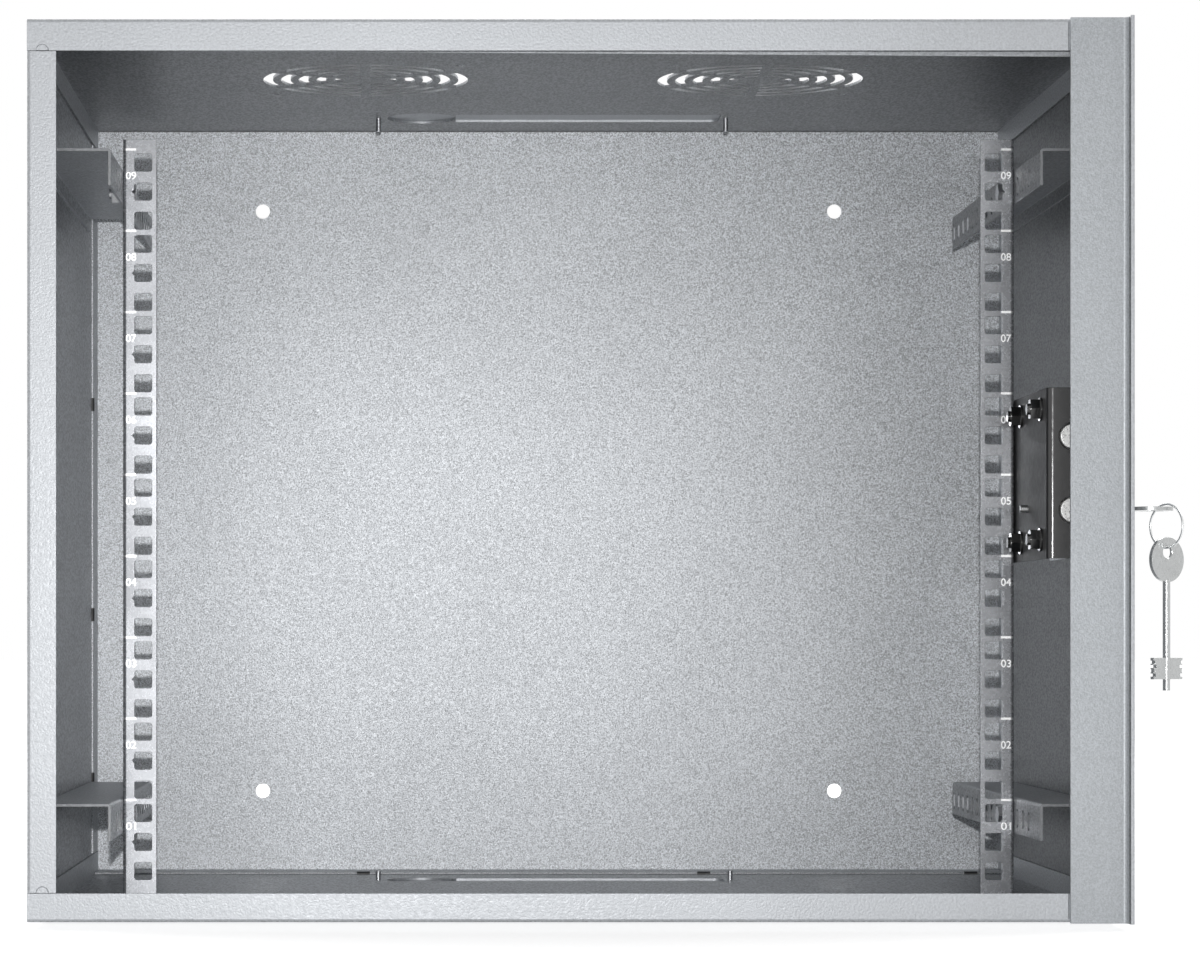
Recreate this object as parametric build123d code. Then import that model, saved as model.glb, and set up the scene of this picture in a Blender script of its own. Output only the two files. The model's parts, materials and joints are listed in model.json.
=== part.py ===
from build123d import *
from math import cos, radians, sin, sqrt
import os

os.makedirs("parts", exist_ok=True)

# A wall mount network cabinet, seen from the front along +Y, with its front panel taken off.
# The origin is the centre of the four wall holes, on the outer face of the back panel.
# +X is to the right, +Y into the wall and +Z up. All sizes are in millimetres.

# Enclosure
WIDTH = 567.0  # across the outer faces of the side walls
HEIGHT = 464.0  # across the outer faces of the top and bottom panels
DEPTH = 400.0  # from the wall to the face of the front lips
SHEET = 1.5  # top, bottom and left panels, guides, brackets and rails
BACK_SHEET = 1.0  # back panel
SIDE_SHEET = 2.0  # right side panel and lock stile
BEND = 1.8  # outer radius of a bend
SEAM = 0.3  # open seam between two panels that meet edge to edge
TOP_LIP = 16.3
BOTTOM_LIP = 14.9
LEFT_LIP = 15.0
CORNER_FLANGE = 14.0  # flanges of the top and bottom panels inside the side walls
DIMPLE_RADIUS = 3.3  # raised half-round mark above each corner seam
DIMPLE = 0.6
DIMPLE_BEVEL = 0.4
DIMPLE_INSET = 7.9  # from the outer face of the left wall
BACK_FLANGE = 33.0  # forward flanges of the back panel
OVERCUT = 1.0  # a cutter reaches this far past what it cuts

# Tack welds on the back panel's flanges
WELD_RADIUS = 1.8
WELD_LENGTH = 8.0
WELD_HEIGHTS = (58.0, -71.0, -172.0)
WELD_PLACES = (-115.0, 94.0, 258.0)  # along the floor

# Lock stile and the right side panel that stands proud of it
STILE_WIDTH = 29.5
STILE_FILLET = 2.4  # painted weld between the stile and the right side panel
STILE_BEAD = 0.9  # welds between the stile and the two lips
SIDE_PROUD = 9.0  # right side panel in front of the lips
SIDE_LAP = 0.4  # right side panel and stile beyond the top and the bottom

# Guides that hold the front panel
GROOVE = 10.5  # clear depth behind a lip
TOP_GUIDE_DROP = 12.4  # top guide at its left end
GUIDE_TAPER = 3.8  # extra drop of the top guide at its right end
BOTTOM_GUIDE_RISE = 11.0
GUIDE_FOOT = 12.0  # welded foot of a guide

# Wall holes
WALL_HOLE_SPACING_X = 356.0
WALL_HOLE_SPACING_Z = 361.0
WALL_HOLE_RADIUS = 4.5

# Fan grilles in the top panel
FAN_SPACING = 223.4  # between the two fan centres
FAN_DEPTH = 195.0  # behind the front lips
GRILLE_RADIUS = 58.0
GRILLE_PITCH = 10.0  # from one ring of slots to the next
GRILLE_SLOT = 5.5
GRILLE_RINGS = 5
GRILLE_BAR = 5.5
GRILLE_BARS = 3  # each runs across the whole grille
FAN_BOLT_SQUARE = 105.0
FAN_BOLT_RADIUS = 2.25

# Cable entries in the top and bottom panels: a round opening that runs on as a slot
ENTRY_ROUND_X = -79.0
ENTRY_ROUND_RADIUS = 21.3
ENTRY_SLOT_START = -58.5
ENTRY_SLOT_END = 102.0
ENTRY_SLOT_HALF = 15.3
ENTRY_CORNER = 5.0
TOP_ENTRY_DEPTH = 56.0  # centre line of the top entry in front of the wall
BOTTOM_ENTRY_DEPTH = 86.0

# Covers of the cable entries, screwed on from outside
ENTRY_COVER = 1.5
ENTRY_COVER_MARGIN = 7.0  # cover beyond the opening in depth
ENTRY_COVER_END = 11.0  # cover beyond its screws
ENTRY_COVER_CORNER = 4.0
ENTRY_SCREW_X = 105.5
ENTRY_SCREW_RADIUS = 1.5
ENTRY_SCREW_HEAD_RADIUS = 3.0
ENTRY_SCREW_HEAD = 1.9
ENTRY_SCREW_BEVEL = 0.8
TOP_SCREW_REACH = 8.0  # screw end inside the top panel
BOTTOM_SCREW_REACH = 5.5

# 19 inch rack
RACK_UNITS = 9
RACK_UNIT = 44.45
COLUMN_INSET = 50.95  # from a side wall's outer face to the hole column, which makes 465.1 between columns
HOLES_PER_UNIT = 3
HOLE_FIRST = 6.35  # lowest hole centre above the bottom of its rack unit
HOLE_PITCH = 15.875
SQUARE_HOLE = 9.7
SQUARE_HOLE_CORNER = 0.9
NOTCH_DEPTH = 1.4
NOTCH_HALF = 2.4
RACK_RISE = 11.0  # from the floor to the bottom of the first rack unit
RAIL_MARGIN = 6.3  # rail beyond the rack units
RAIL_FRONT = 18.2
RAIL_SIDE = 34.0
RAIL_OUTER = 11.0  # from the hole column to the rail's outer face
RAIL_DEPTH = 121.0  # front face of the rails behind the lips

# Depth brackets that carry the rails
UPPER_BRACKET_GAP = 59.6  # from the roof to the top of an upper bracket
LOWER_BRACKET_RISE = 57.7  # from the floor to the top of a lower bracket
BRACKET_FRONT = 39.0  # behind the lips
BRACKET_REAR = 55.5  # in front of the wall
BRACKET_DROP = 19.5
BRACKET_WALL_DROP = 9.4
BRACKET_SLOT_PITCH = 17.5
BRACKET_SLOT_FIRST = 36.0  # first slot behind the bracket's front end
BRACKET_SLOTS = 16
SLOT_WIDTH = 6.5
SLOT_HEIGHT = 10.0
SLOT_CORNER = 1.5
SLOT_DROP = 11.0  # slot centre below the bracket's top

# M6 fasteners
M6_RADIUS = 3.0
M6_FLATS = 10.0
M6_HEAD = 4.0
M6_NUT = 5.0
M6_HOLE_RADIUS = 3.3
WASHER_RADIUS = 6.2
WASHER = 1.2
RAIL_BOLT_SLOT = 4  # bracket slot that holds the rail bolt, counted from the front
THREAD_END = 1.6  # thread beyond a nut

# Lock cover and the studs that hold the lock to the right side panel
COVER_SHEET = 1.5
COVER_WIDTH = 36.9
COVER_FRONT = 25.0  # behind the lips
COVER_DEPTH = 120.0
COVER_HALF = 44.5
COVER_BEND = 3.5
STUD_Z = 34.2
STUD_DEPTHS = (17.0, 78.0)  # behind the cover's front face
BASE_PLATE = 2.0
BASE_GAP = 12.5  # from the right side panel to the base plate
BASE_INSET = 1.5  # base plate inside the cover's edges
SPACER_FLATS = 10.0

# Deadbolts and the carriage that joins them
BOLT_RADIUS = 7.0
BOLT_CLEARANCE = 0.4
BOLT_SPACING = 38.4
BOLT_INSET = 23.3  # bolt axis from the right side panel
BOLT_LENGTH = 41.0
BOLT_THROW = 18.0
BOLT_CHAMFER = 1.0
CARRIAGE = 3.0
CARRIAGE_GAP = 0.7  # from the end of the key's bit
CARRIAGE_LENGTH = 62.0
CARRIAGE_TOP = 26.5
CARRIAGE_BOTTOM = 28.0
SLOT_CLEARANCE = 1.0
GUIDE_POST_RADIUS = 3.0
GUIDE_POST_DEPTH = 97.0  # behind the cover's front face
GUIDE_POST_Z = 16.0
TALON_RADIUS = 1.5
STUMP_RADIUS = 2.5
STUMP_DEPTH = 75.0
STUMP_Z = 6.0

# Levers
LEVERS = 4
LEVER = 1.8
LEVER_GAP = 0.3
LEVER_FRONT_GAP = 3.0
LEVER_PIVOT_DEPTH = 111.0
LEVER_PIVOT_Z = 10.0
LEVER_PIVOT_RADIUS = 2.5
LEVER_RUNNING = 0.08
LEVER_END = 6.0
LEVER_TOP = 20.0
LEVER_BOTTOM = -10.0
LEVER_GATE_BOTTOM = -0.8
LEVER_GATE_TOP = 9.4
SPRING_WIRE = 0.5
SPRING_RISE = 12.0

# Keys
KEY_DEPTH = 59.0  # key axis behind the cover's front face
KEY_Z = -16.6
KEY_STEM = 2.0
KEY_STEM_LAP = 1.0  # stem inside the bow
KEY_CLEARANCE = 0.2
KEY_TIP = 6.0
KEY_LENGTH = 82.0
KEY_BIT_WIDTH = 21.5
KEY_BIT_LENGTH = 11.5
KEY_BIT = 2.4
KEY_BIT_CUTS = (1.6, 0.5, 2.1, 1.0)
KEY_CUT = 1.6
KEY_BOW_RADIUS = 12.0
KEY_BOW = 2.0
KEY_HOLE_RADIUS = 3.3
KEY_HOLE_INSET = 8.0
KEY_HOLE_BEVEL = 0.4
KEY_PROUD = 5.6  # blade tip in front of the cover's inner face
DRUM_RADIUS = 13.5
DRUM_RUNNING = 0.06
DRUM_END_GAP = 0.3
HOUSING_WALL = 3.0

# Key ring
RING_RADIUS = 11.7
RING_WIRE = 0.7
RING_WIRE_SIDES = 8
RING_TURN = -56.0  # heading of the ring's plane, from +X about +Z
RING_SEAT = 0.3  # clearance where one piece hangs on another

# Places worked out from the sizes above
LEFT_OUT = -WIDTH / 2
RIGHT_OUT = WIDTH / 2
LEFT_IN = LEFT_OUT + SHEET
RIGHT_IN = RIGHT_OUT - SIDE_SHEET
TOP_OUT = HEIGHT / 2
TOP_IN = TOP_OUT - SHEET
BOTTOM_OUT = -HEIGHT / 2
BOTTOM_IN = BOTTOM_OUT + SHEET
FRONT = -DEPTH
LIP_BACK = FRONT + SHEET
GUIDE_FRONT = LIP_BACK + GROOVE
BACK_IN = -BACK_SHEET
FLANGE_FRONT = -BACK_FLANGE
RAIL_FACE = FRONT + RAIL_DEPTH
HOLE_COLUMN = WIDTH / 2 - COLUMN_INSET
RAIL_X = HOLE_COLUMN + RAIL_OUTER  # rail's outer face on the bracket's flange
RAIL_FOOT = BOTTOM_IN + RACK_RISE - RAIL_MARGIN
RAIL_HEIGHT = RACK_UNITS * RACK_UNIT + 2 * RAIL_MARGIN
BRACKET_TOPS = (TOP_IN - UPPER_BRACKET_GAP, BOTTOM_IN + LOWER_BRACKET_RISE)
BRACKET_Y0 = FRONT + BRACKET_FRONT
BRACKET_Y1 = -BRACKET_REAR
RAIL_BOLT_Y = BRACKET_Y0 + BRACKET_SLOT_FIRST + RAIL_BOLT_SLOT * BRACKET_SLOT_PITCH
STILE_IN = RIGHT_IN - STILE_WIDTH
STILE_FRONT = FRONT - SIDE_SHEET
COVER_Y = FRONT + COVER_FRONT
COVER_X = RIGHT_IN - COVER_WIDTH
COVER_IN = COVER_X + COVER_SHEET
BASE_OUT = RIGHT_IN - BASE_GAP
BASE_IN = BASE_OUT - BASE_PLATE
STUD_PLACES = [(COVER_Y + depth, side * STUD_Z) for depth in STUD_DEPTHS for side in (1, -1)]
BOLT_X = RIGHT_IN - BOLT_INSET
BOLT_BACK = COVER_Y + BOLT_LENGTH
KEY_Y = COVER_Y + KEY_DEPTH
KEY_TIP_X = COVER_IN - KEY_PROUD
BIT_END = KEY_TIP_X + KEY_TIP + KEY_BIT_LENGTH
CARRIAGE_X = BIT_END + CARRIAGE_GAP
KEY_END = KEY_TIP_X + KEY_LENGTH
HOLE_X = KEY_END - KEY_HOLE_INSET
RING_WAY = Vector(cos(radians(RING_TURN)), sin(radians(RING_TURN)), 0)


def block(x, y, z):
    """A box from its low and high value along each axis."""
    spans = (x, y, z)
    sizes = [high - low for low, high in spans]
    middle = [(high + low) / 2 for low, high in spans]
    return Pos(*middle) * Box(*sizes)


def rod_x(radius, x0, x1, y, z):
    """A round rod along X."""
    return Pos((x0 + x1) / 2, y, z) * Rot(0, 90, 0) * Cylinder(radius, abs(x1 - x0))


def rod_y(radius, x, y0, y1, z):
    """A round rod along Y."""
    return Pos(x, (y0 + y1) / 2, z) * Rot(90, 0, 0) * Cylinder(radius, abs(y1 - y0))


def rod_z(radius, x, y, z0, z1):
    """A round rod along Z."""
    return Pos(x, y, (z0 + z1) / 2) * Cylinder(radius, abs(z1 - z0))


def hexagon_x(flats, x0, x1, y, z):
    """A hexagonal prism along X, with a corner pointing up."""
    profile = RegularPolygon(flats / 2, 6, major_radius=False, rotation=30)
    return Pos(x0, y, z) * Rot(0, 90, 0) * extrude(profile, x1 - x0)


def lip_profile(lip, reach):
    """A lip that hangs from a sheet, with its bend. The sheet's top edge is the X axis."""
    outline = Rectangle(reach, lip, align=(Align.MIN, Align.MAX))
    hollow = Pos(SHEET, -SHEET) * Rectangle(reach, lip, align=(Align.MIN, Align.MAX))
    sheet = outline - hollow
    outer = sheet.vertices().sort_by(Axis.X)[:2].sort_by(Axis.Y)[-1]
    sheet = fillet(outer, BEND)
    inner = sheet.vertices().sort_by_distance((SHEET, -SHEET))[0]
    return fillet(inner, BEND - SHEET)


def entry_outline():
    """Outline of a cable entry, with its centre line on the X axis."""
    slot = Rectangle(ENTRY_SLOT_END - ENTRY_SLOT_START, 2 * ENTRY_SLOT_HALF, align=(Align.MIN, Align.CENTER))
    slot = fillet(slot.vertices().sort_by(Axis.X)[2:], ENTRY_CORNER)
    return Pos(ENTRY_SLOT_START, 0) * slot + Pos(ENTRY_ROUND_X, 0) * Circle(ENTRY_ROUND_RADIUS)


def entry_cutter(depth, z):
    """Cutter of the cable entry and its two screw holes in a panel whose lower face is at z."""
    face = entry_outline() + Locations((-ENTRY_SCREW_X, 0), (ENTRY_SCREW_X, 0)) * Circle(ENTRY_SCREW_RADIUS)
    return Pos(0, -depth, z - OVERCUT) * extrude(face, SHEET + 2 * OVERCUT)


def grille_cutter(x):
    """Rings of slots between radial bars, and four screw holes, for one fan."""
    slots = Sketch()
    for ring in range(GRILLE_RINGS):
        outer = GRILLE_RADIUS - ring * GRILLE_PITCH
        slots += Circle(outer) - Circle(outer - GRILLE_SLOT)
    for bar in range(GRILLE_BARS):
        turn = 90 + bar * 180 / GRILLE_BARS
        slots -= Rot(0, 0, turn) * Rectangle(3 * GRILLE_RADIUS, GRILLE_BAR)
    screws = GridLocations(FAN_BOLT_SQUARE, FAN_BOLT_SQUARE, 2, 2) * Circle(FAN_BOLT_RADIUS)
    face = slots + screws
    return Pos(x, FRONT + FAN_DEPTH, TOP_IN - OVERCUT) * extrude(face, SHEET + 2 * OVERCUT)


def shelf_panel(side, lip):
    """Top panel (side 1) or bottom panel (side -1), without its cut-outs."""
    profile = lip_profile(lip, BEND)
    front = Plane.YZ.offset(LEFT_OUT) * Pos(FRONT, TOP_OUT) * profile
    panel = extrude(front, RIGHT_IN - LEFT_OUT)
    panel += block((LEFT_IN, RIGHT_IN), (FRONT + BEND, BACK_IN), (TOP_IN, TOP_OUT))
    flange = (TOP_OUT - CORNER_FLANGE, TOP_OUT)
    flange_y = (FRONT + 2 * BEND, BACK_IN)
    panel += block((LEFT_IN, LEFT_IN + SHEET), flange_y, flange)
    panel += block((RIGHT_IN - SHEET, RIGHT_IN), flange_y, flange)
    if side < 0:
        panel = mirror(panel, Plane.XY)
    return panel


def dimple(seam):
    """Half-round mark on the face of a lip, above the seam at that height."""
    x = LEFT_OUT + DIMPLE_INSET
    mark = rod_y(DIMPLE_RADIUS, x, FRONT - DIMPLE, FRONT, seam)
    mark = chamfer(mark.edges().filter_by(GeomType.CIRCLE).sort_by(Axis.Y)[0], DIMPLE_BEVEL)
    reach = (x - DIMPLE_RADIUS, x + DIMPLE_RADIUS)
    return mark & block(reach, (FRONT - DIMPLE, FRONT), (seam, seam + DIMPLE_RADIUS))


def top_panel():
    """Roof with front lip, side flanges, two fan grilles and a cable entry."""
    panel = shelf_panel(1, TOP_LIP) + dimple(TOP_OUT - TOP_LIP)
    for side in (-1, 1):
        panel -= grille_cutter(side * FAN_SPACING / 2)
    return panel - entry_cutter(TOP_ENTRY_DEPTH, TOP_IN)


def bottom_panel():
    """Floor with front lip, side flanges and a cable entry."""
    return shelf_panel(-1, BOTTOM_LIP) - entry_cutter(BOTTOM_ENTRY_DEPTH, BOTTOM_OUT)


def entry_cover(depth, z):
    """Flat cover of a cable entry, with its lower face at z."""
    width = 2 * (ENTRY_SCREW_X + ENTRY_COVER_END)
    face = RectangleRounded(width, 2 * (ENTRY_ROUND_RADIUS + ENTRY_COVER_MARGIN), ENTRY_COVER_CORNER)
    face -= Locations((-ENTRY_SCREW_X, 0), (ENTRY_SCREW_X, 0)) * Circle(ENTRY_SCREW_RADIUS)
    return Pos(0, -depth, z) * extrude(face, ENTRY_COVER)


def entry_screw(x, depth, face, end):
    """Pan-head screw from the outer face of a cover to its end inside the cabinet."""
    outwards = 1 if face > end else -1
    head_end = face + outwards * ENTRY_SCREW_HEAD
    head = rod_z(ENTRY_SCREW_HEAD_RADIUS, x, -depth, face, head_end)
    rim = head.edges().filter_by(GeomType.CIRCLE).sort_by_distance((x, -depth, head_end))[0]
    return chamfer(rim, ENTRY_SCREW_BEVEL) + rod_z(ENTRY_SCREW_RADIUS, x, -depth, end, face)


def cable_cover_screws():
    """Screws of both cable entry covers. Their ends stand inside the cabinet."""
    screws = []
    for x in (-ENTRY_SCREW_X, ENTRY_SCREW_X):
        screws.append(entry_screw(x, TOP_ENTRY_DEPTH, TOP_OUT + ENTRY_COVER, TOP_IN - TOP_SCREW_REACH))
        low_end = BOTTOM_IN + BOTTOM_SCREW_REACH
        screws.append(entry_screw(x, BOTTOM_ENTRY_DEPTH, BOTTOM_OUT - ENTRY_COVER, low_end))
    return screws


def left_side_panel():
    """Left wall with the front lip that fits between the top and bottom lips."""
    profile = lip_profile(LEFT_LIP, BEND)
    low = BOTTOM_OUT + BOTTOM_LIP + SEAM
    high = TOP_OUT - TOP_LIP - SEAM
    frame = Plane(origin=(LEFT_OUT, FRONT, low), x_dir=(0, 1, 0), z_dir=(0, 0, 1))
    lip = extrude(frame * profile, high - low) + dimple(low)
    return lip + block((LEFT_OUT, LEFT_IN), (FRONT + BEND, 0), (BOTTOM_OUT, TOP_OUT))


def keyhole(x0, x1):
    """Round hole with two wing slots that a double-bit key passes through."""
    round_hole = rod_x(KEY_STEM + KEY_CLEARANCE, x0, x1, KEY_Y, KEY_Z)
    wing = KEY_BIT_WIDTH / 2 + KEY_CLEARANCE
    half = KEY_BIT / 2 + KEY_CLEARANCE
    return round_hole + block((x0, x1), (KEY_Y - wing, KEY_Y + wing), (KEY_Z - half, KEY_Z + half))


def right_side_panel():
    """Right wall, proud of the front and with the keyhole."""
    z = (BOTTOM_OUT - SIDE_LAP, TOP_OUT + SIDE_LAP)
    wall = block((RIGHT_IN, RIGHT_OUT), (FRONT - SIDE_PROUD, 0), z)
    wall = fillet(wall.edges().filter_by(Axis.Z), SIDE_SHEET / 4)
    return wall - keyhole(RIGHT_IN - OVERCUT, RIGHT_OUT + OVERCUT)


def back_panel():
    """Back sheet with forward flanges at both sides and the bottom, and the wall holes."""
    panel = block((LEFT_IN, RIGHT_IN), (BACK_IN, 0), (BOTTOM_IN, TOP_IN))
    side_z = (BOTTOM_OUT + CORNER_FLANGE + SEAM, TOP_OUT - CORNER_FLANGE - SEAM)
    flange_y = (FLANGE_FRONT, BACK_IN)
    panel += block((LEFT_IN, LEFT_IN + BACK_SHEET), flange_y, side_z)
    panel += block((RIGHT_IN - BACK_SHEET, RIGHT_IN), flange_y, side_z)
    floor_x = (LEFT_IN + SHEET + SEAM, RIGHT_IN - SHEET - SEAM)
    panel += block(floor_x, flange_y, (BOTTOM_IN, BOTTOM_IN + BACK_SHEET))
    for x in (-WALL_HOLE_SPACING_X / 2, WALL_HOLE_SPACING_X / 2):
        for z in (-WALL_HOLE_SPACING_Z / 2, WALL_HOLE_SPACING_Z / 2):
            panel -= rod_y(WALL_HOLE_RADIUS, x, BACK_IN - OVERCUT, OVERCUT, z)
    return panel


def corner_weld(x, side, y, radius, z):
    """Hollow weld along Z in the corner of a face at y and a wall at x. Side is the way from the wall."""
    bead = block(sorted((x, x + side * radius)), (y - radius, y), z)
    return bead - rod_z(radius, x + side * radius, y - radius, *z)


def lock_stile():
    """Wide upright at the right of the opening, welded to the right side panel and the lips."""
    z = (BOTTOM_OUT - SIDE_LAP, TOP_OUT + SIDE_LAP)
    stile = block((STILE_IN, RIGHT_IN), (STILE_FRONT, FRONT), z)
    stile += corner_weld(RIGHT_IN, -1, STILE_FRONT, STILE_FILLET, z)
    for span in ((TOP_OUT - TOP_LIP, TOP_OUT - BEND), (BOTTOM_OUT + BEND, BOTTOM_OUT + BOTTOM_LIP)):
        stile += corner_weld(STILE_IN, -1, FRONT, STILE_BEAD, span)
    return stile


def guide_foot(z0, z1):
    """Foot of a guide, welded to the panel, between the corner flanges."""
    x = (LEFT_IN + SHEET + SEAM, RIGHT_IN - SHEET - SEAM)
    return block(x, (GUIDE_FRONT, GUIDE_FRONT + GUIDE_FOOT), (z0, z1))


def top_guide_lip():
    """Guide behind the top lip. It hangs lower towards the lock."""
    left = LEFT_IN + SHEET + SEAM
    right = RIGHT_IN - SHEET - SEAM
    face = Polygon(
        (left, TOP_IN),
        (left, TOP_IN - TOP_GUIDE_DROP),
        (right, TOP_IN - TOP_GUIDE_DROP - GUIDE_TAPER),
        (right, TOP_IN),
        align=None,
    )
    blade = extrude(Plane.XZ.offset(-GUIDE_FRONT - SHEET) * face, SHEET)
    return blade + guide_foot(TOP_IN - SHEET, TOP_IN)


def bottom_guide_lip():
    """Guide behind the bottom lip."""
    x = (LEFT_IN + SHEET + SEAM, RIGHT_IN - SHEET - SEAM)
    blade = block(x, (GUIDE_FRONT, GUIDE_FRONT + SHEET), (BOTTOM_IN, BOTTOM_IN + BOTTOM_GUIDE_RISE))
    return blade + guide_foot(BOTTOM_IN, BOTTOM_IN + SHEET)


def wall_inside(side):
    """Inner face of the left wall (side -1) or the right wall (side 1)."""
    return RIGHT_IN if side > 0 else LEFT_IN


def bracket(side, top):
    """Depth bracket: a shelf welded to the wall, with a slotted flange that carries a rail."""
    wall = wall_inside(side)
    flange = side * RAIL_X
    width = abs(wall - flange)
    outline = Rectangle(width, BRACKET_DROP, align=(Align.MIN, Align.MAX))
    outline -= Pos(SHEET, -SHEET) * Rectangle(
        width - 2 * SHEET, BRACKET_DROP, align=(Align.MIN, Align.MAX)
    )
    outline -= Pos(width - SHEET, -BRACKET_WALL_DROP) * Rectangle(
        2 * SHEET, BRACKET_DROP, align=(Align.MIN, Align.MAX)
    )
    outline = fillet(outline.vertices().sort_by_distance((0, 0))[0], BEND)
    outline = fillet(outline.vertices().sort_by_distance((width, 0))[0], BEND)
    inner = [(SHEET, -SHEET), (width - SHEET, -SHEET)]
    for corner in inner:
        outline = fillet(outline.vertices().sort_by_distance(corner)[0], BEND - SHEET)
    frame = Plane(origin=(flange, BRACKET_Y0, top), x_dir=(side, 0, 0), z_dir=(0, -side, 0))
    shelf = extrude(frame * outline, -side * (BRACKET_Y1 - BRACKET_Y0))
    slots = []
    for step in range(BRACKET_SLOTS):
        y = BRACKET_Y0 + BRACKET_SLOT_FIRST + step * BRACKET_SLOT_PITCH
        slot = Pos(flange - 2 * SHEET, y, top - SLOT_DROP) * Rot(0, 90, 0)
        face = Rectangle(SLOT_HEIGHT, SLOT_WIDTH)
        slots.append(slot * extrude(chamfer(face.vertices(), SLOT_CORNER), 4 * SHEET))
    return shelf - slots


def rail_holes():
    """Square holes of one rail, as a sketch with X outwards and Y up, from the rail's foot."""
    hole = Rectangle(SQUARE_HOLE, SQUARE_HOLE)
    hole = chamfer(hole.vertices(), SQUARE_HOLE_CORNER)
    edge = SQUARE_HOLE / 2
    root = edge - OVERCUT
    notch = Polygon((root, -NOTCH_HALF), (edge + NOTCH_DEPTH, 0), (root, NOTCH_HALF), align=None)
    middle_hole = hole + notch
    holes = Sketch()
    for unit in range(RACK_UNITS):
        for row in range(HOLES_PER_UNIT):
            y = RAIL_MARGIN + unit * RACK_UNIT + HOLE_FIRST + row * HOLE_PITCH
            holes += Pos(-RAIL_OUTER, y) * (middle_hole if row == 1 else hole)
    return holes


def rail(side):
    """Rack rail: an angle with square holes in front and bolt holes at the side."""
    profile = Rectangle(RAIL_FRONT, RAIL_SIDE, align=(Align.MAX, Align.MIN))
    profile -= Pos(-SHEET, SHEET) * Rectangle(RAIL_FRONT, RAIL_SIDE, align=(Align.MAX, Align.MIN))
    profile = fillet(profile.vertices().sort_by_distance((0, 0))[0], BEND)
    profile = fillet(profile.vertices().sort_by_distance((-SHEET, SHEET))[0], BEND - SHEET)
    angle = extrude(profile, RAIL_HEIGHT)
    cutter = Plane(origin=(0, 2 * SHEET, 0), x_dir=(1, 0, 0), z_dir=(0, -1, 0)) * rail_holes()
    angle -= extrude(cutter, 4 * SHEET)
    for top in BRACKET_TOPS:
        z = top - SLOT_DROP - RAIL_FOOT
        angle -= rod_x(M6_HOLE_RADIUS, -3 * SHEET, SHEET, RAIL_BOLT_Y - RAIL_FACE, z)
    angle = Pos(RAIL_X, RAIL_FACE, RAIL_FOOT) * angle
    return angle if side > 0 else mirror(angle, Plane.YZ)


def rail_joints():
    """Place and side of each rail bolt."""
    return [(side, top - SLOT_DROP) for side in (-1, 1) for top in BRACKET_TOPS]


def rail_bolts():
    """Hexagon bolts through the rails and the brackets."""
    bolts = []
    for side, z in rail_joints():
        head = RAIL_X - SHEET
        end = RAIL_X + SHEET + WASHER + M6_NUT + THREAD_END
        bolt = hexagon_x(M6_FLATS, side * (head - M6_HEAD), side * head, RAIL_BOLT_Y, z)
        bolts.append(bolt + rod_x(M6_RADIUS, side * head, side * end, RAIL_BOLT_Y, z))
    return bolts


def rail_washers():
    """Washers under the nuts of the rail bolts."""
    start = RAIL_X + SHEET
    return [
        rod_x(WASHER_RADIUS, side * start, side * (start + WASHER), RAIL_BOLT_Y, z)
        - rod_x(M6_HOLE_RADIUS, side * start, side * (start + WASHER), RAIL_BOLT_Y, z)
        for side, z in rail_joints()
    ]


def rail_nuts():
    """Nuts of the rail bolts, seated on the washers."""
    start = RAIL_X + SHEET + WASHER
    nuts = []
    for side, z in rail_joints():
        nut = hexagon_x(M6_FLATS, side * start, side * (start + M6_NUT), RAIL_BOLT_Y, z)
        nuts.append(nut - rod_x(M6_RADIUS, side * start, side * (start + M6_NUT), RAIL_BOLT_Y, z))
    return nuts


def lock_cover():
    """Bent steel cover: a front leg with the bolt holes and an inner leg with the key tip's hole."""
    profile = Rectangle(COVER_WIDTH, COVER_DEPTH, align=(Align.MIN, Align.MIN))
    profile -= Pos(COVER_SHEET, COVER_SHEET) * Rectangle(
        COVER_WIDTH, COVER_DEPTH, align=(Align.MIN, Align.MIN)
    )
    profile = fillet(profile.vertices().sort_by_distance((0, 0))[0], COVER_BEND)
    inner = profile.vertices().sort_by_distance((COVER_SHEET, COVER_SHEET))[0]
    profile = fillet(inner, COVER_BEND - COVER_SHEET)
    cover = Pos(COVER_X, COVER_Y, -COVER_HALF) * extrude(profile, 2 * COVER_HALF)
    for z in (-BOLT_SPACING / 2, BOLT_SPACING / 2):
        radius = BOLT_RADIUS + BOLT_CLEARANCE
        cover -= rod_y(radius, BOLT_X, COVER_Y - OVERCUT, COVER_Y + COVER_SHEET + OVERCUT, z)
    x = (COVER_X - OVERCUT, COVER_IN + OVERCUT)
    for y, z in STUD_PLACES:
        cover -= rod_x(M6_HOLE_RADIUS, *x, y, z)
    return cover - rod_x(KEY_STEM + KEY_CLEARANCE, *x, KEY_Y, KEY_Z)


def lock_base_plate():
    """Plate that carries the lock's moving pieces."""
    y = (COVER_Y + COVER_SHEET + BASE_INSET, COVER_Y + COVER_DEPTH - BASE_INSET)
    half = COVER_HALF - BASE_INSET
    plate = block((BASE_IN, BASE_OUT), y, (-half, half))
    x = (BASE_IN - OVERCUT, BASE_OUT + OVERCUT)
    for stud_y, stud_z in STUD_PLACES:
        plate -= rod_x(M6_HOLE_RADIUS, *x, stud_y, stud_z)
    return plate - keyhole(*x)


def lock_studs():
    """Threaded studs welded to the right side panel."""
    end = COVER_X - WASHER - M6_NUT - THREAD_END
    return [rod_x(M6_RADIUS, end, RIGHT_IN, y, z) for y, z in STUD_PLACES]


def spacer(x0, x1, y, z):
    """Hexagonal spacer on a stud."""
    return hexagon_x(SPACER_FLATS, x0, x1, y, z) - rod_x(M6_HOLE_RADIUS, x0, x1, y, z)


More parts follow.
